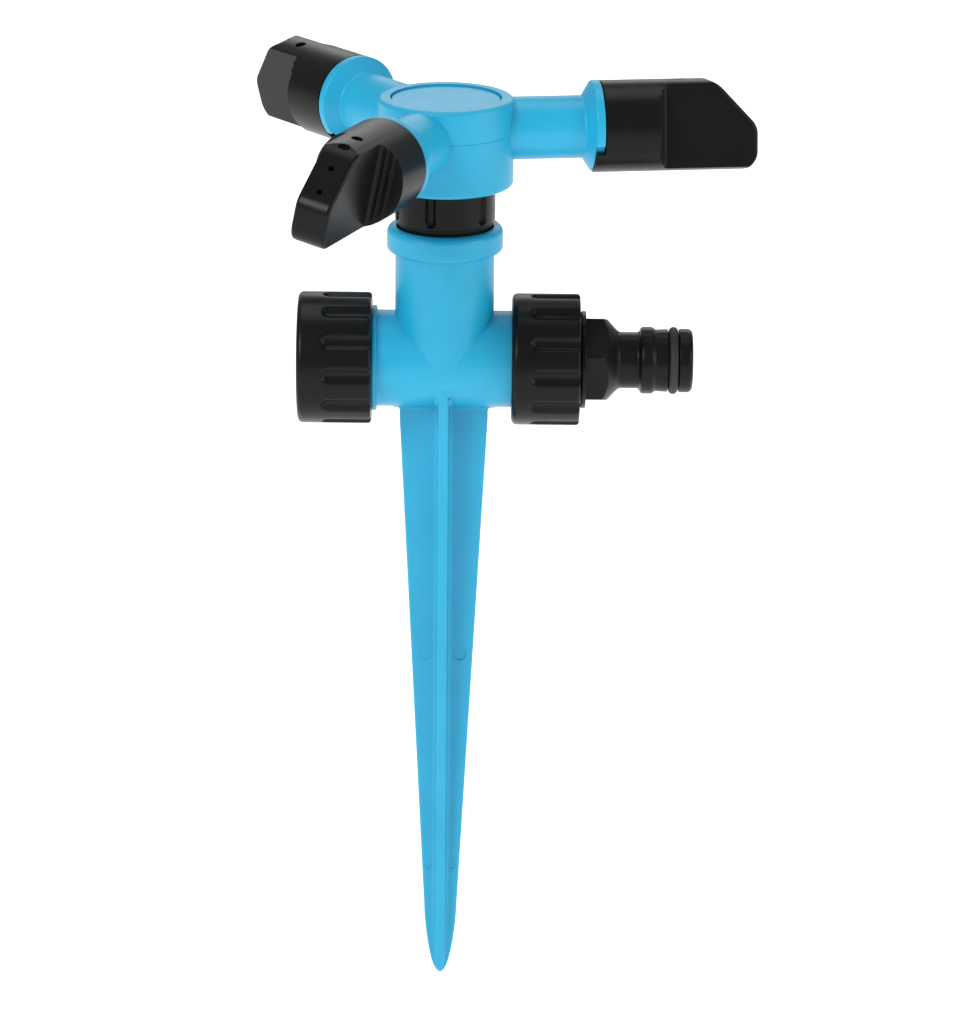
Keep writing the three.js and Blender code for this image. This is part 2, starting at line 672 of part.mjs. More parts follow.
function jets() {
  const slope = rad(BEVEL_ANGLE);
  const tilt = new THREE.Matrix4().makeRotationY(slope);
  const onTop = TOP_JETS.map((along) => shifted(BARREL_END + along, 0, NOZZLE_R));
  const onBevel = BEVEL_JETS.map((down) => {
    const x = BEVEL_START + down * Math.cos(slope);
    const z = NOZZLE_R - down * Math.sin(slope);
    return shifted(x, 0, z).multiply(tilt);
  });
  return [
    ...onTop.map((place) => moved(jet(JET_MOUTH_R), place)),
    ...onBevel.map((place) => moved(jet(JET_R), place)),
  ];
}

function nozzle() {
  const round = moved(rod(NOZZLE_R, BARREL_START, NOZZLE_END), ABOUT_X);
  const barrel = moved(rod(NOZZLE_R, BARREL_START, BARREL_END), ABOUT_X);
  const blade = round.intersect(plate(bladeOutline(BARREL_END - 1, 0), BLADE));
  const lugStart = FLANGE_END - NOTCH_DEPTH + GAP;
  const lug = sector(NOTCH_FLOOR_R + GAP, NOZZLE_R, LUG_START, LUG_END, lugStart, BARREL_START + 1);
  const beadRoom = rod(ARM_SPIGOT_R + ARM_SNAP + GAP, SPIGOT_BEAD - GAP, SPIGOT_END + GAP);
  const bore = rod(NOZZLE_BORE_R, BARREL_START - 1, BARREL_END - BLADE_WALL);
  const slot = plate(bladeOutline(BARREL_END - 2 * BLADE_WALL, BLADE_WALL), BLADE - 2 * BLADE_WALL);
  const shell = joined([barrel, blade, moved(lug, ABOUT_X)]);
  return cut(shell, [moved(bore, ABOUT_X), moved(beadRoom, ABOUT_X), slot, ...jets()]);
}

// ---- assembly -----------------------------------------------------------------------------

function piece(name, material, body) {
  const geometry = surface(body);
  geometry.computeVertexNormals();
  const mesh = new THREE.Mesh(geometry, material.clone());
  mesh.name = name;
  return mesh;
}

const sprinkler = new THREE.Group();

sprinkler.add(
  piece("base_body", blue, baseBody()),
  piece("swivel_stem", black, swivelStem()),
  piece("socket_o_ring", rubber, oRing(PLUG_R - RING_GROOVE, RING, PLUG_RING_Z)),
  piece("lower_thrust_washer", acetal, pipe(JOURNAL_R + GAP, THRUST_R, LOW_WASHER_Z, LOW_WASHER_Z + THRUST)),
  piece("shaft_o_ring", rubber, oRing(JOURNAL_R - RING_GROOVE, RING, SHAFT_RING_Z)),
  piece("upper_thrust_washer", acetal, pipe(JOURNAL_R + GAP, THRUST_R, TOP_WASHER_Z, TOP_WASHER_Z + THRUST)),
  piece("retaining_clip", steel, retainingClip()),
  piece("rotor_hub", blue, rotorHub()),
  piece("hub_lid", blue, hubLid()),
);

// Inlet side: everything on the cross tube's axis towards +X.
const inletSide = new THREE.Group();
inletSide.applyMatrix4(ALONG_TUBE);
const noseGroove = NOSE_R - NOSE_GROOVE;
const inletWasherBore = SPIGOT_R + SNAP + GAP;
inletSide.add(
  piece("coupling_nut", black, couplingNut()),
  piece("hose_adapter", black, hoseAdapter()),
  piece("nose_o_ring", rubber, oRing(noseGroove, NOSE_RING, NOSE_RING_AT)),
  piece("inlet_washer", rubber, pipe(inletWasherBore, WASHER_R, NUT_TUBE_END + GAP, NUT_FLOOR - GAP)),
);

// Closed side: the same axis towards -X.
const closedSide = new THREE.Group();
closedSide.applyMatrix4(spun(180).multiply(ALONG_TUBE));
closedSide.add(
  piece("end_cap", black, endCap()),
  piece("cap_washer", rubber, rod(WASHER_R, CAP_TUBE_END + GAP, CAP_FLOOR - GAP)),
);
sprinkler.add(inletSide, closedSide);

NOZZLES.forEach(({ side, turn }, i) => {
  const armAxis = new THREE.Group();
  armAxis.position.z = ARM_Z;
  armAxis.rotation.z = rad(FIRST_ARM + (i * 360) / ARMS);
  const tip = piece("nozzle_" + side, black, nozzle());
  tip.rotation.x = rad(turn);
  const seal = moved(oRing(ARM_SPIGOT_R - RING_GROOVE, RING, ARM_RING_L), ABOUT_X);
  armAxis.add(tip, piece("nozzle_o_ring_" + side, rubber, seal));
  sprinkler.add(armAxis);
});

export default sprinkler;
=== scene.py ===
# Studio scene of the garden sprinkler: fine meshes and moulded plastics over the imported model.
# Drawing code works in millimetres about each piece's own axis; mesh_piece() turns that into metres.
import json
import math

import bmesh
import bpy
from mathutils import Matrix, Vector


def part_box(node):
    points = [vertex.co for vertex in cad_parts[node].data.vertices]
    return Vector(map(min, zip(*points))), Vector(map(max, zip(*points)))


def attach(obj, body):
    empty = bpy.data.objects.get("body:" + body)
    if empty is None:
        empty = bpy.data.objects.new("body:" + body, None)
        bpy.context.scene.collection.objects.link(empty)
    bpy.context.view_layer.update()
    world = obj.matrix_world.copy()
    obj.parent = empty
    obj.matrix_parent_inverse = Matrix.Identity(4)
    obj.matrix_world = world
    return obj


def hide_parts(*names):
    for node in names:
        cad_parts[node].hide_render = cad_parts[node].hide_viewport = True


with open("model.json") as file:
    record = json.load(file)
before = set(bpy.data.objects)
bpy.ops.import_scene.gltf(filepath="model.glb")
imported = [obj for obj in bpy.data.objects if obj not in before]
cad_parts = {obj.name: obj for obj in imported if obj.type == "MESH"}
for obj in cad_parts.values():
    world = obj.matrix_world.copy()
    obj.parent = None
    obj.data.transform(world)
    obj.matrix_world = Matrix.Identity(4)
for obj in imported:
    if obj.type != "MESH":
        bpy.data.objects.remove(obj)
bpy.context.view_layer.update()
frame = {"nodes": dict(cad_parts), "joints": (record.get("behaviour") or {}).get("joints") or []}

MM = 0.001
COLUMNS = 96  # around a plain turned piece
FULL_TURN = 2 * math.pi

# ---- sizes, in millimetres ------------------------------------------------------------------


def low(node, axis):
    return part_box(node)[0][axis] / MM


def high(node, axis):
    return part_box(node)[1][axis] / MM


CROSS_Z = (low("coupling_nut", 2) + high("coupling_nut", 2)) / 2
NUT_START, NUT_END = low("coupling_nut", 0), high("coupling_nut", 0)
CAP_START, CAP_END = -high("end_cap", 0), -low("end_cap", 0)
GRIP_R = (high("coupling_nut", 2) - low("coupling_nut", 2)) / 2
ADAPTER_START, ADAPTER_END = low("hose_adapter", 0), high("hose_adapter", 0)
TUBE_END_NUT, TUBE_END_CAP = high("base_body", 0), -low("base_body", 0)
COLLAR_TOP = high("base_body", 2)
SPIKE_TIP_Z = low("base_body", 2)
HUB_BOTTOM = low("rotor_hub", 2)
STEM_BOTTOM, STEM_TOP = low("swivel_stem", 2), high("swivel_stem", 2)
LID_TOP = high("hub_lid", 2)
HUB_TOP = LID_TOP + 0.5
LID_R = (high("hub_lid", 0) - low("hub_lid", 0)) / 2
ARM_Z = frame["joints"][0]["pos_m"][2] / MM

GAP = 0.3
TUBE_R = 12.1
TUBE_BORE_R = 9.5
PITCH = 1.814
THREAD_HEIGHT = 0.9
THREAD_RUNOUT = 3.4
THREAD_FOOT, THREAD_CREST = 1.25, 0.35
TUBE_TURNS = 3.6
NUT_TURNS = 3.0
FEMALE_ROOT = 13.45
END_WALL = 3.1
STOP_RING_HEIGHT, STOP_RING_WIDTH = 1.1, 1.0
RISER_R = 12.35
COLLAR_R = 14.45
COLLAR_HEIGHT = 6.2
PLUG_R = 10.2
BARB_R = 12.6
MOUTH_R = 12.2
SHANK_R = 11.7
LIP = 2.1
BARB_WIDTH = 1.2
RING_DEPTH = 1.15  # of an O-ring's groove
RING_HALF = 0.8  # half of its width
CLIP_HALF = 0.65  # half of the clip's groove
PLUG_RING_BELOW = 8.1  # plug's O-ring under the barb
CLIP_ABOVE = 1.85  # clip's middle above the hub's floor
GRIP_LIFT = 0.6
STEM_GRIP_R = 12.45
JOURNAL_R = 7.0
STEM_BORE_R = 4.3
WING = 2.5
WING_ROOT = 1.3
WING_EDGE = 0.55
WING_FILLET = 1.7
RIB_FILLET = 1.3
SPIKE_TOP_HALF = 11.1
SPIKE_LOW_HALF = 4.3
SPIKE_TOP_Z = 4.0
POINT_START_Z = -129.4
HUB_R = 16.8
CHAMBER_R = 13.2
HUB_FLOOR = 3.7
THRUST_R = 10.2
THRUST_ROOM = 1.1
LID = 1.5
ARM_R = 7.75
ARM_BORE_R = 5.0
FLARE_START = 33.9
FLARE_LENGTH = 2.3
FLANGE_LENGTH = 2.0
FLANGE_R = 11.4
ARM_SPIGOT_R = 8.4
ARM_SPIGOT = 10.6
ARM_ROOT = 14.4  # inner end of an arm, inside the drum's wall
ARM_RING_AT = 5.0  # arm's O-ring beyond the flange
ARM_SNAP, ARM_SNAP_WIDTH = 0.6, 1.2
NOTCH_START, NOTCH_END = 193, 320
NOTCH_DEPTH = 2.3
NOTCH_FLOOR_R = 10.0
NOZZLE_R = 11.36
BARREL_LENGTH = 13.5
BLADE_LENGTH = 25.5
BLADE = 8.8
BLADE_WALL = 2.2
BEVEL_LENGTH = 11.1
BEVEL_ANGLE = math.radians(47)
LUG_START, LUG_END = 213, 298
EDGE = 0.9  # rounding where the end face and the bevel meet the blade's flats
SIDE_REACH = 15.0  # of the block that trims the barrel, across the nozzle
BROW_R, CHIN_R, HEEL_R = 8.0, 4.8, 4.6  # where the bevel starts, where it ends, under the end face
SLOT_BROW_R, SLOT_CHIN_R, SLOT_HEEL_R = 3.0, 0.5, 1.7
JET_R = 0.7
JET_MOUTH_R = 1.45
JET_MOUTH = 0.8
TOP_JETS = (6.1, 13.5)
BEVEL_JETS = (6.2, 12.6)

FLANGE_END = FLARE_START + FLARE_LENGTH + FLANGE_LENGTH
BARREL_START = FLANGE_END + GAP
BARREL_END = BARREL_START + BARREL_LENGTH
NOZZLE_END = BARREL_END + BLADE_LENGTH

# Drawn about Z, shown along X: the drawing's x and y become Y and Z.
ABOUT_X = Matrix(((0, 0, 1, 0), (1, 0, 0, 0), (0, 1, 0, 0), (0, 0, 0, 1)))
# Drawn in x and y with its thickness along z, shown standing in the XZ plane.
UPRIGHT = Matrix(((1, 0, 0, 0), (0, 0, -1, 0), (0, 1, 0, 0), (0, 0, 0, 1)))
INLET_AXIS = Matrix.Translation((0, 0, CROSS_Z)) @ ABOUT_X
CAP_AXIS = Matrix.Rotation(math.pi, 4, "Z") @ INLET_AXIS


# ---- outlines -------------------------------------------------------------------------------


def rounded(corners, steps=5):
    """A closed outline through corners (across, along, radius), rounded by true arcs."""
    points = []
    count = len(corners)
    for i, (u, v, radius) in enumerate(corners):
        here = Vector((u, v))
        back = Vector(corners[i - 1][:2]) - here
        ahead = Vector(corners[(i + 1) % count][:2]) - here
        if not radius:
            points.append(here)
            continue
        half = back.angle(ahead) / 2
        reach = min(radius / math.tan(half), back.length * 0.49, ahead.length * 0.49)
        size = reach * math.tan(half)
        centre = here + (back.normalized() + ahead.normalized()).normalized() * size / math.sin(half)
        start = here + back.normalized() * reach - centre
        sweep = start.angle_signed(here + ahead.normalized() * reach - centre)
        for k in range(steps + 1):
            turn = -sweep * k / steps
            spun = Vector((
                start.x * math.cos(turn) - start.y * math.sin(turn),
                start.x * math.sin(turn) + start.y * math.cos(turn),
            ))
            points.append(centre + spun)
    return points


def sharp(*corners):
    return [(u, v, 0) for u, v in corners]


def finer(points, step):
    """Splits the outline's long edges, for a surface that a shape function bends."""
    result = []
    for a, b in zip(points, points[1:] + points[:1]):
        parts = max(1, math.ceil((b - a).length / step))
        result += [a.lerp(b, k / parts) for k in range(parts)]
    return result


# ---- solids ---------------------------------------------------------------------------------


def new_object(name, bm):
    bmesh.ops.remove_doubles(bm, verts=bm.verts, dist=1e-4)
    bmesh.ops.recalc_face_normals(bm, faces=bm.faces)
    mesh = bpy.data.meshes.new(name)
    bm.to_mesh(mesh)
    bm.free()
    made = bpy.data.objects.new(name, mesh)
    bpy.context.scene.collection.objects.link(made)
    return made


def turned(points, columns=COLUMNS, shape=None):
    """A solid turned about Z from a closed outline of (radius, height)."""
    bm = bmesh.new()
    rings = []
    for point in points:
        if point.x < 1e-6:
            rings.append([bm.verts.new((0, 0, point.y))] * columns)
            continue
        ring = []
        for j in range(columns):
            angle = FULL_TURN * j / columns
            radius = shape(angle, point.x, point.y) if shape else point.x
            ring.append(bm.verts.new((radius * math.cos(angle), radius * math.sin(angle), point.y)))
        rings.append(ring)
    for here, there in zip(rings, rings[1:] + rings[:1]):
        for j in range(columns):
            k = (j + 1) % columns
            loop = []
            for vert in (here[j], here[k], there[k], there[j]):
                if vert not in loop:
                    loop.append(vert)
            if len(loop) > 2:
                bm.faces.new(loop)
    return new_object("turned", bm)


def rod(radius, start, end, columns=COLUMNS, edge=0.0):
    return turned(rounded([(0, start, 0), (radius, start, edge), (radius, end, edge), (0, end, 0)]), columns)


def extruded(points, bottom, top):
    """A solid with a flat outline in x and y between two heights."""
    bm = bmesh.new()
    low_ring = [bm.verts.new((p.x, p.y, bottom)) for p in points]
    high_ring = [bm.verts.new((p.x, p.y, top)) for p in points]
    bm.faces.new(low_ring[::-1])
    bm.faces.new(high_ring)
    for i in range(len(points)):
        k = (i + 1) % len(points)
        bm.faces.new((low_ring[i], low_ring[k], high_ring[k], high_ring[i]))
    return new_object("extruded", bm)


def sector_points(inner, outer, start, end, steps=24):
    angles = [math.radians(start + (end - start) * k / steps) for k in range(steps + 1)]
    outside = [Vector((outer * math.cos(a), outer * math.sin(a))) for a in angles]
    inside = [Vector((inner * math.cos(a), inner * math.sin(a))) for a in reversed(angles)]
    return outside + inside


def placed(made, matrix):
    made.data.transform(matrix)
    return made


def settle(made):
    """Applies the object's modifiers to its mesh."""
    evaluated = made.evaluated_get(bpy.context.evaluated_depsgraph_get())
    mesh = bpy.data.meshes.new_from_object(evaluated)
    made.modifiers.clear()
    old = made.data
    made.data = mesh
    bpy.data.meshes.remove(old)


def combined(base, tool, operation):
    step = base.modifiers.new("combine", "BOOLEAN")
    step.solver = "EXACT"
    step.operation = operation
    step.object = tool
    settle(base)
    bpy.data.objects.remove(tool, do_unlink=True)
    return base


def joined(base, *tools):
    for tool in tools:
        combined(base, tool, "UNION")
    return base


def cut(base, *tools):
    for tool in tools:
        combined(base, tool, "DIFFERENCE")
    return base


def softened(made, width, angle=35, segments=3):
    """Rounds the edges that are sharper than an angle."""
    step = made.modifiers.new("soften", "BEVEL")
    step.width = width
    step.segments = segments
    step.limit_method = "ANGLE"
    step.angle_limit = math.radians(angle)
    step.use_clamp_overlap = True
    settle(made)
    return made


def mesh_piece(made, name, nodes, body, material, smooth_angle=32):
    """Finishes a solid drawn in millimetres as the visible stand-in for CAD nodes."""
    made.name = name
    made.data.name = name
    made.data.transform(Matrix.Scale(MM, 4))
    made.data.materials.clear()
    made.data.materials.append(material)
    made.data.polygons.foreach_set("use_smooth", [True] * len(made.data.polygons))
    made.data.set_sharp_from_angle(angle=math.radians(smooth_angle))
    weighted = made.modifiers.new("even shading", "WEIGHTED_NORMAL")
    weighted.keep_sharp = True
    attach(made, body)
    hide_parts(*nodes)
    return made


# ---- materials ------------------------------------------------------------------------------


def plastic(name, base, tint, roughness, grain=0.00003, grain_scale=1500.0, specular=0.5):
    """Moulded plastic: fine grain, slow cloudiness in colour and gloss."""
    material = bpy.data.materials.new(name)
    material.use_nodes = True
    nodes = material.node_tree.nodes
    links = material.node_tree.links
    shader = nodes["Principled BSDF"]
    shader.inputs["Specular IOR Level"].default_value = specular
    place = nodes.new("ShaderNodeTexCoord")

    cloud = nodes.new("ShaderNodeTexNoise")
    cloud.inputs["Scale"].default_value = 45.0
    cloud.inputs["Detail"].default_value = 4.0
    links.new(place.outputs["Object"], cloud.inputs["Vector"])
    colours = nodes.new("ShaderNodeValToRGB")
    colours.color_ramp.elements[0].position = 0.3
    colours.color_ramp.elements[0].color = (*base, 1)
    colours.color_ramp.elements[1].position = 0.7
    colours.color_ramp.elements[1].color = (*tint, 1)
    links.new(cloud.outputs["Fac"], colours.inputs["Fac"])
    links.new(colours.outputs["Color"], shader.inputs["Base Color"])

    speckle = nodes.new("ShaderNodeTexNoise")
    speckle.inputs["Scale"].default_value = 260.0
    speckle.inputs["Detail"].default_value = 3.0
    links.new(place.outputs["Object"], speckle.inputs["Vector"])
    gloss = nodes.new("ShaderNodeMapRange")
    gloss.inputs["To Min"].default_value = roughness - 0.05
    gloss.inputs["To Max"].default_value = roughness + 0.06
    links.new(speckle.outputs["Fac"], gloss.inputs["Value"])
    links.new(gloss.outputs["Result"], shader.inputs["Roughness"])

    texture = nodes.new("ShaderNodeTexNoise")
    texture.inputs["Scale"].default_value = grain_scale
    texture.inputs["Detail"].default_value = 2.0
    links.new(place.outputs["Object"], texture.inputs["Vector"])
    bump = nodes.new("ShaderNodeBump")
    bump.inputs["Strength"].default_value = 0.35
    bump.inputs["Distance"].default_value = grain
    links.new(texture.outputs["Fac"], bump.inputs["Height"])
    links.new(bump.outputs["Normal"], shader.inputs["Normal"])
    return material


def brushed_steel(name):
    material = plastic(name, (0.55, 0.56, 0.58), (0.62, 0.63, 0.65), 0.3)
    material.node_tree.nodes["Principled BSDF"].inputs["Metallic"].default_value = 1.0
    return material


BLUE = plastic(
    "blue_plastic", (0.010, 0.350, 0.575), (0.015, 0.380, 0.615), 0.38, grain=0.00005, specular=0.4
)
BLACK = plastic("black_plastic", (0.0040, 0.0040, 0.0041), (0.0062, 0.0062, 0.0064), 0.30, specular=0.15)
RUBBER = plastic("black_rubber", (0.008, 0.008, 0.008), (0.012, 0.012, 0.012), 0.62, grain=0.00006)
ACETAL = plastic("white_acetal", (0.76, 0.74, 0.70), (0.80, 0.78, 0.74), 0.38)
STEEL = brushed_steel("spring_steel")


# ---- shared shapes --------------------------------------------------------------------------


def ridge(distance, foot, crest):
    """Height, 0 to 1, of a thread's ridge at a distance from its middle."""
    if distance <= crest / 2:
        return 1.0
    if distance >= foot / 2:
        return 0.0
    return (foot / 2 - distance) / (foot / 2 - crest / 2)


def thread(start, turns, height, plain):
    """Shape function of a helical ridge, right-handed, on the surface with the plain radius."""
    def shape(angle, radius, along):
        if abs(radius - plain) > 0.01:
            return radius
        first = start + THREAD_FOOT / 2
        turn = (along - first) / PITCH - angle / FULL_TURN
        nearest = round(turn)
        position = nearest + angle / FULL_TURN
        if position < 0 or position > turns:
            return radius
        fade = min(1.0, position * 3, (turns - position) * 3)
        return radius + height * fade * ridge(abs(turn - nearest) * PITCH, THREAD_FOOT, THREAD_CREST)
    return shape


def smooth_min(a, b, blend):
    mix = max(0.0, min(1.0, 0.5 + (b - a) / (2 * blend)))
    return b + (a - b) * mix - blend * mix * (1 - mix)


def fluted(radius, angles, cutter, centre, closed_low, closed_high, blend=0.22):
    """Shape function that sinks round-ended flutes of a cutter radius, centred at a radius."""
    def shape(angle, r, along):
        if r < radius - 2.5:
            return r
        offset = min(abs((angle - a + math.pi) % FULL_TURN - math.pi) for a in angles)
        side = r * math.sin(min(offset, math.pi / 2))
        beyond = max(closed_low - along, along - closed_high, 0.0)
        away = side * side + beyond * beyond
        if away >= cutter * cutter:
            return r
        floor = centre - math.sqrt(cutter * cutter - away)
        return min(r, smooth_min(r, floor, blend))
    return shape


def both(first, second):
    return lambda angle, r, along: second(angle, first(angle, r, along), along)


# ---- base -----------------------------------------------------------------------------------


def threaded_tube(mouth, end):
    outline = sharp((0, 0), (TUBE_R, 0)) + [(TUBE_R, end, 0.5), (0, end, 0)]
    shape = thread(mouth + THREAD_RUNOUT, TUBE_TURNS, THREAD_HEIGHT, TUBE_R)
    return turned(finer(rounded(outline), 0.18), 72, shape)


def flare(distance, radius):
    """How far a fillet stands out at a distance before the face that it runs into."""
    if distance >= radius:
        return 0.0
    return radius - math.sqrt(radius ** 2 - (radius - max(distance, 0.0)) ** 2)


def wing_side(half, thickness):
    """One flank of a wing as (along, out) points: filleted root, flat and rounded edge."""
    free = half - thickness / 2
    root = min(WING_ROOT, free * 0.5)
    edge = min(WING_EDGE, free * 0.4, thickness * 0.4)
    centre = thickness / 2 + root
    angles = [math.radians(a) for a in (45, 60, 75, 90)]
    points = [(centre - root * math.cos(a), centre - root * math.sin(a)) for a in angles]
    flat = half - edge - centre
    points += [(centre + flat * k / 8, thickness / 2) for k in range(1, 9)]
    for k in range(1, 5):
        a = math.radians(90 * k / 4)
        points.append((half - edge + edge * math.sin(a), thickness / 2 - edge + edge * math.cos(a)))
    return points


def spike_section(z, half):
    """Outline of the four wings at a height, flared where they run into the cross tube."""
    thickness = min(WING, 1.1 * half)
    underside = CROSS_Z - TUBE_R
    outline = []
    for quarter in range(4):
        sideways = quarter % 2 == 0
        reach = half + (flare(underside - z, WING_FILLET) if sideways else 0)
        side = []
        for along, out in wing_side(reach, thickness):
            if sideways:
                gap = underside - z
            else:
                gap = CROSS_Z - math.sqrt(max(TUBE_R ** 2 - along ** 2, 0)) - z
            share = min(max(along / thickness - 1, 0.0), 1.0)
            side.append((along, out + share * flare(gap, RIB_FILLET)))
        wing = [(along, -out) for along, out in side] + side[:0:-1]
        turn = math.pi / 2 * quarter
        for along, out in wing:
            x = along * math.cos(turn) - out * math.sin(turn)
            y = along * math.sin(turn) + out * math.cos(turn)
            outline.append((x, y, z))
    return outline


def spike():
    """The spike's four wings, lofted from the point up into the cross tube."""
    stations = []
    for k in range(12):
        share = math.sin(math.pi / 2 * (12 - k) / 12)
        z = POINT_START_Z + share * (SPIKE_TIP_Z - POINT_START_Z)
        stations.append((z, max(SPIKE_LOW_HALF * math.sqrt(1 - share ** 1.5), 0.3)))
    for k in range(9):
        share = k / 8
        z = POINT_START_Z + share * (SPIKE_TOP_Z - POINT_START_Z)
        stations.append((z, SPIKE_LOW_HALF + share * (SPIKE_TOP_HALF - SPIKE_LOW_HALF)))
    fine = 0.3
    count = int((CROSS_Z - 2 - SPIKE_TOP_Z) / fine)
    stations += [(SPIKE_TOP_Z + fine * (k + 1), SPIKE_TOP_HALF) for k in range(count)]
    bm = bmesh.new()
    rings = [[bm.verts.new(point) for point in spike_section(z, half)] for z, half in stations]
    for here, there in zip(rings, rings[1:]):
        for i in range(len(here)):
            k = (i + 1) % len(here)
            bm.faces.new((here[i], here[k], there[k], there[i]))
    bm.faces.new(rings[0][::-1])
    bm.faces.new(rings[-1])
    return new_object("spike", bm)


# Round marks that the mould's ejector pins leave on the wings: across, height, radius, depth.
PIN_MARKS = (
    (4.5, -59.2, 1.8, 0.22),
    (-4.5, -59.4, 1.4, 0.1),
    (3.0, -118.8, 0.95, 0.14),
    (-3.2, -118.8, 0.95, 0.14),
)


def pin_marks():
    marks = []
    for face in (0, math.pi):
        for across, height, radius, depth in PIN_MARKS:
            mark = rod(radius, WING / 2 - depth, WING / 2 + 1, 40)
            place = Matrix.Rotation(face, 4, "Z") @ Matrix.Translation((across, 0, height))
            marks.append(placed(mark, place @ Matrix.Rotation(math.pi / 2, 4, "X")))
    return marks


def build_base():
    riser = turned(rounded([
        (0, CROSS_Z, 0),
        (RISER_R, CROSS_Z, 0),
        (RISER_R, COLLAR_TOP - COLLAR_HEIGHT, 0.3),
        (COLLAR_R, COLLAR_TOP - COLLAR_HEIGHT, 2.0),
        (COLLAR_R, COLLAR_TOP, 1.7),
        (0, COLLAR_TOP, 0),
    ]))
    ring_end = CAP_START - GAP
    stop_ring = rod(TUBE_R + STOP_RING_HEIGHT, ring_end - STOP_RING_WIDTH, ring_end, edge=0.25)
    body = placed(threaded_tube(NUT_START, TUBE_END_NUT), INLET_AXIS)
    joined(
        body,
        placed(threaded_tube(CAP_START, TUBE_END_CAP), CAP_AXIS),
        placed(stop_ring, CAP_AXIS),
        riser,
        spike(),
    )
    barb_top = COLLAR_TOP - LIP - GAP
    barb_bottom = barb_top - BARB_WIDTH
    socket = turned(rounded(sharp(
        (0, CROSS_Z),
        (TUBE_BORE_R - 1, CROSS_Z),
        (TUBE_BORE_R - 1, STEM_BOTTOM - GAP),
        (PLUG_R + GAP, STEM_BOTTOM - GAP),
        (PLUG_R + GAP, barb_bottom - GAP),
        (BARB_R + GAP, barb_bottom - GAP),
        (BARB_R + GAP, barb_top + GAP),
        (MOUTH_R, barb_top + GAP),
        (MOUTH_R, COLLAR_TOP + 1),
        (0, COLLAR_TOP + 1),
    )))
    bore = rod(TUBE_BORE_R, -TUBE_END_CAP - 1, TUBE_END_NUT + 1)
    cut(body, placed(bore, INLET_AXIS), socket, *pin_marks())
    mesh_piece(body, "base_moulding", ["base_body"], "base", BLUE)


# ---- nut, cap and hose adapter --------------------------------------------------------------

FLUTES = 12
FLUTE_DEPTH = 1.1
FLUTE_CUTTER = 2.1
FLUTE_CENTRE = GRIP_R - FLUTE_DEPTH + FLUTE_CUTTER
NUT_FLUTE_START = 4.4  # plain band from the nut's mouth
CAP_FLUTE_END = 5.8  # plain band from the cap's closed end
NUT_HOLE_R = 8.3
FLUTE_COLUMNS = 240


def flute_angles():
    return [FULL_TURN * i / FLUTES for i in range(FLUTES)]


def nut_bore(mouth):
    start = mouth + THREAD_RUNOUT - 1.5 * PITCH
    return thread(start, NUT_TURNS, -THREAD_HEIGHT, FEMALE_ROOT)


def build_nut():
    floor = NUT_END - END_WALL
    outline = rounded([
        (FEMALE_ROOT, NUT_START, 0.4),
        (GRIP_R, NUT_START, 2.0),
        (GRIP_R, NUT_END, 0.8),
        (NUT_HOLE_R, NUT_END, 0.2),
        (NUT_HOLE_R, floor, 0),
        (FEMALE_ROOT, floor, 0),
    ])
    closed = NUT_START + NUT_FLUTE_START + FLUTE_CUTTER
    flutes = fluted(GRIP_R, flute_angles(), FLUTE_CUTTER, FLUTE_CENTRE, closed, NUT_END + 9)
    nut = turned(finer(outline, 0.3), FLUTE_COLUMNS, both(nut_bore(NUT_START), flutes))
    placed(nut, INLET_AXIS)
    mesh_piece(nut, "fluted_nut", ["coupling_nut"], "inlet_connector", BLACK)


def build_cap():
    floor = CAP_END - END_WALL
    outline = rounded([
        (FEMALE_ROOT, CAP_START, 0.4),
        (GRIP_R, CAP_START, 0.8),
        (GRIP_R, CAP_END, 1.3),
        (0, CAP_END, 0),
        (0, floor, 0),
        (FEMALE_ROOT, floor, 0),
    ])
    closed = CAP_END - CAP_FLUTE_END - FLUTE_CUTTER
    flutes = fluted(GRIP_R, flute_angles(), FLUTE_CUTTER, FLUTE_CENTRE, CAP_START - 9, closed)
    cap = turned(finer(outline, 0.3), FLUTE_COLUMNS, both(nut_bore(CAP_START), flutes))
    placed(cap, CAP_AXIS)
    mesh_piece(cap, "fluted_cap", ["end_cap"], "cap", BLACK)


SNAP = 0.9
SPIGOT_R = 8.0
SPIGOT_BEAD_R = 8.9
SEAT_R, SEAT = 12.2, 1.2
HEX_FLATS, HEX_LENGTH, HEX_TAPER, HEX_FOOT_R = 20.2, 4.1, 3.3, 8.0
HEX_TURN = math.radians(11)
NECK_R, NECK_LENGTH = 7.05, 6.2
RIDGE_R, RIDGE_LENGTH = 8.4, 3.2
NOSE_R, NOSE_TIP = 7.9, 3.4
WATERWAY_R = 4.5
NOSE_RING, NOSE_RING_PROUD = 1.2, 0.55


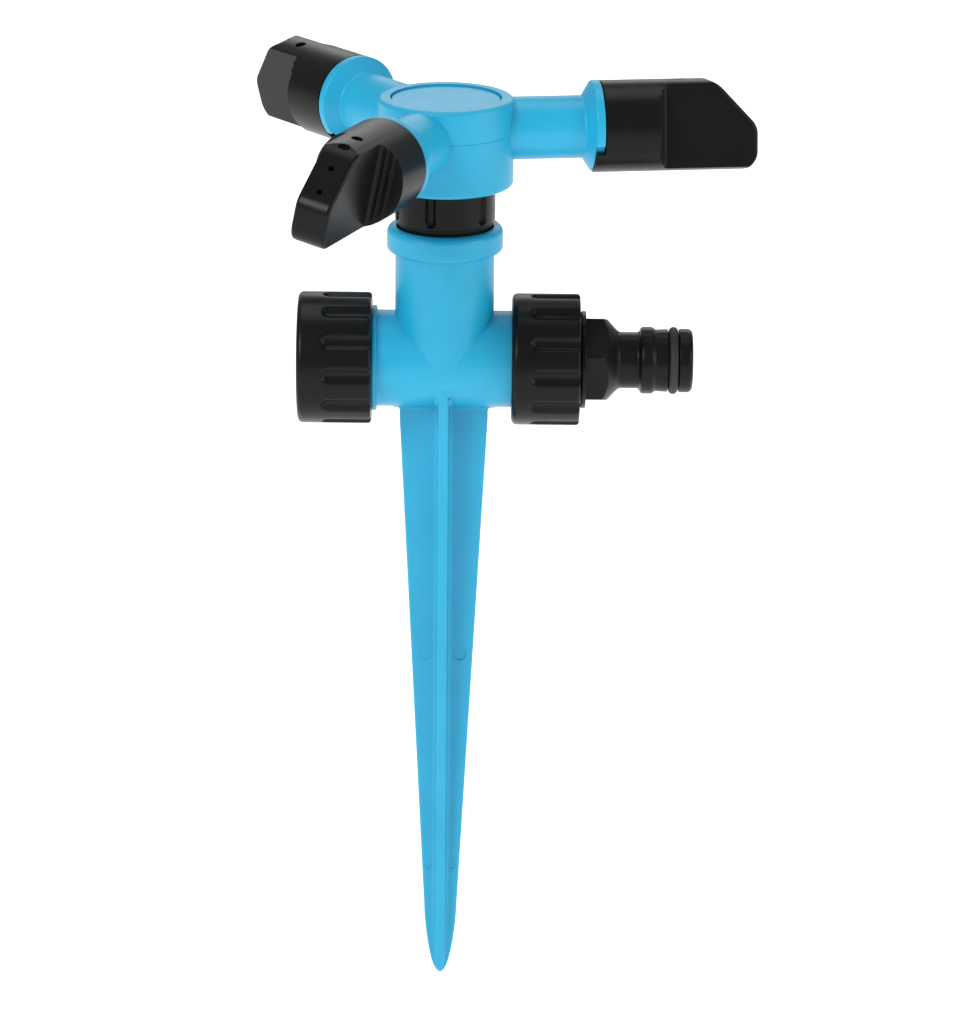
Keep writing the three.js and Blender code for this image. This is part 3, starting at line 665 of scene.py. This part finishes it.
def build_adapter():
    seat = NUT_END + GAP
    hex_start = seat + SEAT
    hex_end = hex_start + HEX_LENGTH + HEX_TAPER
    ridge_start = hex_end + NECK_LENGTH
    nose = ridge_start + RIDGE_LENGTH
    ring_at = ADAPTER_END - NOSE_TIP - NOSE_RING - 0.2
    groove_r = NOSE_R - (2 * NOSE_RING + 0.05 - NOSE_RING_PROUD)
    flat = HEX_FLATS / 2
    corner = flat / math.cos(math.pi / 6)
    outline = rounded([
        (WATERWAY_R, ADAPTER_START, 0),
        (SPIGOT_BEAD_R, ADAPTER_START, 0.2),
        (SPIGOT_BEAD_R, ADAPTER_START + SNAP, 0),
        (SPIGOT_R, ADAPTER_START + SNAP, 0),
        (SPIGOT_R, seat, 0),
        (SEAT_R, seat, 0.3),
        (SEAT_R, hex_start, 0.3),
        (corner, hex_start, 0.2),
        (corner, hex_end - HEX_TAPER, 0.2),
        (HEX_FOOT_R, hex_end, 0.5),
        (NECK_R, hex_end + 1.0, 3.5),
        (NECK_R, ridge_start - 0.3, 0.9),
        (RIDGE_R, ridge_start + 0.3, 0.9),
        (RIDGE_R, nose - 0.2, 1.1),
        (NOSE_R - 0.15, nose + 0.7, 0.7),
        (NOSE_R, ring_at - 1.4, 0.25),
        (groove_r, ring_at - 1.4, 0.1),
        (groove_r, ring_at + 1.4, 0.1),
        (NOSE_R + 0.1, ring_at + 1.4, 0.25),
        (NOSE_R + 0.1, ADAPTER_END, 1.3),
        (WATERWAY_R, ADAPTER_END, 0.5),
    ])

    def hexagon(angle, radius, along):
        if radius <= HEX_FOOT_R or not hex_start - 0.01 < along < hex_end + 0.01:
            return radius
        from_flat = (angle - HEX_TURN) % (math.pi / 3)
        from_flat = min(from_flat, math.pi / 3 - from_flat)
        return min(radius, flat / math.cos(from_flat))

    adapter = turned(finer(outline, 0.4), 192, hexagon)
    placed(adapter, INLET_AXIS)
    mesh_piece(adapter, "hose_nose", ["hose_adapter"], "inlet_connector", BLACK)

    section = NOSE_RING
    middle = groove_r + section + 0.05
    circle = [(FULL_TURN * k / 20) for k in range(20)]
    torus = [Vector((middle + section * math.cos(a), ring_at + section * math.sin(a))) for a in circle]
    seal = placed(turned(torus, COLUMNS), INLET_AXIS)
    mesh_piece(seal, "nose_seal", ["nose_o_ring"], "inlet_connector", RUBBER)


# ---- swivel stem ----------------------------------------------------------------------------

FIRST_GROOVE, GROOVE_SPREAD, GROOVE_PAIRS = -106.5, 65.0, 3
GROOVE_CUTTER = 1.2


def groove(shaft, depth, half, height):
    floor = shaft - depth
    low_side, high_side = height - half, height + half
    return sharp((shaft, low_side), (floor, low_side), (floor, high_side), (shaft, high_side))


def build_stem():
    grip_bottom = COLLAR_TOP + GRIP_LIFT
    grip_top = HUB_BOTTOM - GAP
    barb_top = COLLAR_TOP - LIP - GAP
    floor_top = HUB_BOTTOM + HUB_FLOOR
    outline = (
        sharp((STEM_BORE_R, STEM_BOTTOM), (PLUG_R, STEM_BOTTOM))
        + groove(PLUG_R, RING_DEPTH, RING_HALF, barb_top - BARB_WIDTH - PLUG_RING_BELOW)
        + sharp(
            (PLUG_R, barb_top - BARB_WIDTH),
            (BARB_R, barb_top - BARB_WIDTH),
            (BARB_R, barb_top),
            (SHANK_R, barb_top),
        )
        + [
            (SHANK_R, grip_bottom, 0.1),
            (STEM_GRIP_R - 0.35, grip_bottom, 0.35),
            (STEM_GRIP_R - 0.2, grip_bottom + 0.75, 0.2),
            (STEM_GRIP_R, grip_bottom + 1.0, 0.2),
            (STEM_GRIP_R, grip_top, 0.3),
        ]
        + sharp((JOURNAL_R, grip_top))
        + groove(JOURNAL_R, RING_DEPTH, RING_HALF, (HUB_BOTTOM + THRUST_ROOM + floor_top) / 2)
        + groove(JOURNAL_R, RING_DEPTH, CLIP_HALF, floor_top + CLIP_ABOVE)
        + sharp((JOURNAL_R, STEM_TOP), (STEM_BORE_R, STEM_TOP))
    )
    firsts = [FIRST_GROOVE + 360 * i / GROOVE_PAIRS for i in range(GROOVE_PAIRS)]
    angles = [math.radians(a) for first in firsts for a in (first, first + GROOVE_SPREAD)]
    grooves = fluted(STEM_GRIP_R, angles, GROOVE_CUTTER, STEM_GRIP_R, grip_bottom + 2.8, HUB_BOTTOM + 9, 0.12)

    def shape(angle, radius, along):
        return grooves(angle, radius, along) if along > grip_bottom else radius

    stem = turned(finer(rounded(outline), 0.35), 288, shape)
    mesh_piece(stem, "stem", ["swivel_stem"], "base", BLACK)


# ---- rotating head --------------------------------------------------------------------------


def arm_axis(azimuth):
    return Matrix.Translation((0, 0, ARM_Z)) @ Matrix.Rotation(azimuth, 4, "Z") @ ABOUT_X


def arm_solid():
    ring = FLANGE_END + ARM_RING_AT
    spigot_end = FLANGE_END + ARM_SPIGOT
    return turned(rounded(
        [
            (0, ARM_ROOT, 0),
            (ARM_R, ARM_ROOT, 0),
            (ARM_R, FLARE_START, 0.8),
            (FLANGE_R, FLARE_START + FLARE_LENGTH, 0.6),
            (FLANGE_R, FLANGE_END, 0.25),
            (ARM_SPIGOT_R, FLANGE_END, 0),
        ]
        + groove(ARM_SPIGOT_R, RING_DEPTH, RING_HALF, ring)
        + sharp(
            (ARM_SPIGOT_R, spigot_end - ARM_SNAP_WIDTH),
            (ARM_SPIGOT_R + ARM_SNAP, spigot_end - ARM_SNAP_WIDTH),
            (ARM_SPIGOT_R, spigot_end),
            (0, spigot_end),
        )
    ))


def notch_cutter():
    points = sector_points(NOTCH_FLOOR_R, FLANGE_R + 1, NOTCH_START, NOTCH_END)
    return extruded(points, FLANGE_END - NOTCH_DEPTH, FLANGE_END + 1)


def arm_azimuths():
    turns = {j["name"]: j["axis"] for j in frame["joints"]}
    axes = [turns[side + "_nozzle_turn"] for side in ("right", "back", "front")]
    return [math.atan2(axis[1], axis[0]) for axis in axes]


def build_hub():
    lid_seat = LID_TOP - LID - GAP
    seam = ARM_Z
    drum = turned(rounded([
        (0, HUB_BOTTOM, 0),
        (HUB_R, HUB_BOTTOM, 1.0),
        (HUB_R, seam - 0.18, 0),
        (HUB_R - 0.12, seam, 0),
        (HUB_R, seam + 0.18, 0),
        (HUB_R, HUB_TOP, 1.1),
        (0, HUB_TOP, 0),
    ]), 144)
    for azimuth in arm_azimuths():
        joined(drum, placed(arm_solid(), arm_axis(azimuth)))
    floor_top = HUB_BOTTOM + HUB_FLOOR
    chamber = turned(rounded([
        (0, floor_top, 0),
        (CHAMBER_R, floor_top, 0),
        (CHAMBER_R, lid_seat, 0),
        (LID_R + 0.25, lid_seat, 0),
        (LID_R + 0.25, HUB_TOP + 1, 0),
        (0, HUB_TOP + 1, 0),
    ]), 144)
    journal_bore = turned(rounded(sharp(
        (0, HUB_BOTTOM - 1),
        (THRUST_R + GAP, HUB_BOTTOM - 1),
        (THRUST_R + GAP, HUB_BOTTOM + THRUST_ROOM),
        (JOURNAL_R + GAP, HUB_BOTTOM + THRUST_ROOM),
        (JOURNAL_R + GAP, floor_top + 1),
        (0, floor_top + 1),
    )))
    cut(drum, chamber, journal_bore)
    for azimuth in arm_azimuths():
        bore = rod(ARM_BORE_R, CHAMBER_R / 2, FLANGE_END + ARM_SPIGOT + 1, 48)
        cut(drum, placed(bore, arm_axis(azimuth)), placed(notch_cutter(), arm_axis(azimuth)))
    mesh_piece(drum, "head_moulding", ["rotor_hub"], "rotor", BLUE)

    lid = turned(rounded([
        (0, LID_TOP - LID, 0),
        (LID_R, LID_TOP - LID, 0),
        (LID_R, LID_TOP, 0.35),
        (0, LID_TOP, 0),
    ]), 144)
    mesh_piece(lid, "head_lid", ["hub_lid"], "rotor", BLUE)


# ---- nozzles --------------------------------------------------------------------------------

ARM_SNAP_ROOM = 9.1  # flange to the start of the room for the arm's snap bead


def slot_cutter():
    """The flat chamber inside the blade, one wall in from its outside."""
    inset = BLADE_WALL
    start = BARREL_END - 2 * BLADE_WALL
    top = NOZZLE_R - inset
    end = NOZZLE_END - inset
    bevel_start = NOZZLE_END - BEVEL_LENGTH + inset / math.tan(BEVEL_ANGLE) - inset / math.sin(BEVEL_ANGLE)
    bevel_end = top - (end - bevel_start) * math.tan(BEVEL_ANGLE)
    corners = [
        (start, -top, 0),
        (end, -top, SLOT_HEEL_R),
        (end, bevel_end, SLOT_CHIN_R),
        (bevel_start, top, SLOT_BROW_R),
        (start, top, 0),
    ]
    half = BLADE / 2 - BLADE_WALL
    return placed(extruded(rounded(corners), -half, half), UPRIGHT)


def side_view(drawn_in):
    """The nozzle from the side, with its end face and bevel drawn in."""
    start = BARREL_START - 2
    top = NOZZLE_R + 0.02
    end = NOZZLE_END - drawn_in
    bevel_start = NOZZLE_END - BEVEL_LENGTH - drawn_in / math.sin(BEVEL_ANGLE)
    bevel_end = top - (end - bevel_start) * math.tan(BEVEL_ANGLE)
    corners = [
        (start, -top, 0),
        (end, -top, HEEL_R),
        (end, bevel_end, CHIN_R),
        (bevel_start, top, BROW_R),
        (start, top, 0),
    ]
    return rounded(corners, 10)


def blade_block():
    """The side view as a block across the nozzle, drawn in towards both flats."""
    layers = [(SIDE_REACH, EDGE)]
    for k in range(7):
        a = math.radians(15 * k)
        layers.append((BLADE / 2 + 0.02 - EDGE * (1 - math.cos(a)), EDGE * (1 - math.sin(a))))
    layers = [(-across, drawn_in) for across, drawn_in in layers] + layers[::-1]
    bm = bmesh.new()
    rings = [[bm.verts.new((p.x, across, p.y)) for p in side_view(drawn_in)] for across, drawn_in in layers]
    for here, there in zip(rings, rings[1:]):
        for i in range(len(here)):
            k = (i + 1) % len(here)
            bm.faces.new((here[i], here[k], there[k], there[i]))
    bm.faces.new(rings[0][::-1])
    bm.faces.new(rings[-1])
    return new_object("blade", bm)


def jet_cutters():
    """Bores from the slot out through the blade's edge, the two on top counterbored."""
    cutters = []
    for along in TOP_JETS:
        place = Matrix.Translation((BARREL_END + along, 0, NOZZLE_R))
        cutters.append(placed(rod(JET_R, -4, 1, 24), place))
        cutters.append(placed(rod(JET_MOUTH_R, -JET_MOUTH, 1, 32), place))
    tilt = Matrix.Rotation(BEVEL_ANGLE, 4, "Y")
    for down in BEVEL_JETS:
        x = NOZZLE_END - BEVEL_LENGTH + down * math.cos(BEVEL_ANGLE)
        z = NOZZLE_R - down * math.sin(BEVEL_ANGLE)
        cutters.append(placed(rod(JET_R, -4, 1, 24), Matrix.Translation((x, 0, z)) @ tilt))
    return cutters


STEP_DEPTH = 0.8  # of the two steps down the barrel's shoulder, along the arm
STEP_EDGES = (3.7, 2.1)  # their edges above the blade's flat
HOLLOW = 1.9  # radius of the curve from the lower step to the flat


def side_cutter(side):
    """Clears one flat of the blade and leaves two steps and a hollow curve at the shoulder."""
    inner = BLADE / 2
    outer = NOZZLE_R + 4
    corners = [(NOZZLE_END + 5, inner, 0), (NOZZLE_END + 5, outer, 0), (BARREL_END, outer, 0)]
    place = BARREL_END
    for edge in STEP_EDGES:
        corners.append((place, inner + edge, 0.25))
        place += STEP_DEPTH
        corners.append((place, inner + edge, 0.3))
    corners.append((place, inner, HOLLOW))
    points = rounded([(along, side * across, radius) for along, across, radius in corners])
    return extruded(points, -NOZZLE_R - 2, NOZZLE_R + 2)


def build_nozzle(side, azimuth, turn):
    body = placed(rod(NOZZLE_R, BARREL_START, NOZZLE_END + 2, 128), ABOUT_X)
    combined(body, blade_block(), "INTERSECT")
    cut(body, side_cutter(1), side_cutter(-1))
    softened(body, 0.35, 40)
    lug_start = FLANGE_END - NOTCH_DEPTH + GAP
    lug_ring = sector_points(NOTCH_FLOOR_R + GAP, NOZZLE_R, LUG_START, LUG_END)
    lug = softened(extruded(lug_ring, lug_start, BARREL_START + 1), 0.5, 50)
    joined(body, placed(lug, ABOUT_X))
    bore = rod(ARM_SPIGOT_R + GAP, BARREL_START - 3, BARREL_END - BLADE_WALL)
    bead_room = rod(ARM_SPIGOT_R + 0.9, FLANGE_END + ARM_SNAP_ROOM, FLANGE_END + ARM_SPIGOT + GAP)
    cut(body, placed(bore, ABOUT_X), placed(bead_room, ABOUT_X), slot_cutter(), *jet_cutters())
    turn_matrix = Matrix.Rotation(azimuth, 4, "Z") @ Matrix.Rotation(turn, 4, "X")
    placed(body, Matrix.Translation((0, 0, ARM_Z)) @ turn_matrix)
    name = side + "_nozzle"
    mesh_piece(body, name + "_shell", ["nozzle_" + side], name, BLACK)


NOZZLE_TURNS = {"right": -9, "back": -15, "front": -12}

build_base()
build_nut()
build_cap()
build_adapter()
build_stem()
build_hub()
for (nozzle_side, nozzle_turn), arm_azimuth in zip(NOZZLE_TURNS.items(), arm_azimuths()):
    build_nozzle(nozzle_side, arm_azimuth, math.radians(nozzle_turn))

# ---- finish of the CAD pieces that stay ------------------------------------------------------

KEPT = {
    RUBBER: ["socket_o_ring", "shaft_o_ring", "inlet_washer", "cap_washer"]
    + ["nozzle_o_ring_" + side for side in NOZZLE_TURNS],
    ACETAL: ["lower_thrust_washer", "upper_thrust_washer"],
    STEEL: ["retaining_clip"],
}
for kept_material, kept_nodes in KEPT.items():
    for kept_node in kept_nodes:
        kept = frame["nodes"][kept_node]
        kept.data.materials.clear()
        kept.data.materials.append(kept_material)

# ---- studio ---------------------------------------------------------------------------------


def flat_colour(name, colour, roughness):
    material = bpy.data.materials.new(name)
    material.use_nodes = True
    shader = material.node_tree.nodes["Principled BSDF"]
    shader.inputs["Base Color"].default_value = (*colour, 1)
    shader.inputs["Roughness"].default_value = roughness
    return material


def build_floor():
    bpy.ops.mesh.primitive_plane_add(size=30, location=(0, 0, SPIKE_TIP_Z * MM - 0.0005))
    floor = bpy.context.object
    floor.name = "floor"
    white = flat_colour("floor_white", (0.93, 0.93, 0.93), 0.7)
    shader = white.node_tree.nodes["Principled BSDF"]
    shader.inputs["Emission Color"].default_value = (1, 1, 1, 1)
    shader.inputs["Emission Strength"].default_value = 0.6
    floor.data.materials.append(white)


def area_light(name, place, target, size, power):
    light = bpy.data.lights.new(name, "AREA")
    light.shape = "RECTANGLE"
    light.size, light.size_y = size
    light.energy = power
    lamp = bpy.data.objects.new(name, light)
    lamp.location = place
    lamp.rotation_euler = (Vector(target) - Vector(place)).to_track_quat("-Z", "Y").to_euler()
    bpy.context.scene.collection.objects.link(lamp)


def build_lights():
    middle = (0, 0, 0.02)
    area_light("key", (-0.7, -0.9, 0.75), middle, (0.45, 0.6), 9.5)
    area_light("fill", (1.1, -0.5, 0.4), middle, (0.5, 0.7), 4.5)
    area_light("top", (0.0, 0.3, 1.3), middle, (1.0, 0.8), 5)
    area_light("back", (0.1, 1.4, 0.6), middle, (1.2, 0.5), 3)
    world = bpy.data.worlds.new("studio")
    world.use_nodes = True
    world.node_tree.nodes["Background"].inputs["Color"].default_value = (1, 1, 1, 1)
    world.node_tree.nodes["Background"].inputs["Strength"].default_value = 0.35
    bpy.context.scene.world = world


def build_camera():
    camera = bpy.data.cameras.new("camera")
    camera.sensor_fit = "VERTICAL"
    camera.sensor_height = 36
    camera.lens = 140.6
    camera.clip_start = 0.05
    rig = bpy.data.objects.new("camera", camera)
    pitch = math.radians(90 - 19.353)
    roll = math.radians(0.585)
    where = Matrix.Translation((0.00915, -0.9608, CROSS_Z * MM + 0.2966))
    rig.matrix_world = where @ Matrix.Rotation(pitch, 4, "X") @ Matrix.Rotation(roll, 4, "Z")
    bpy.context.scene.collection.objects.link(rig)
    bpy.context.scene.camera = rig
    bpy.context.scene.view_settings.view_transform = "Standard"


build_floor()
build_lights()
build_camera()
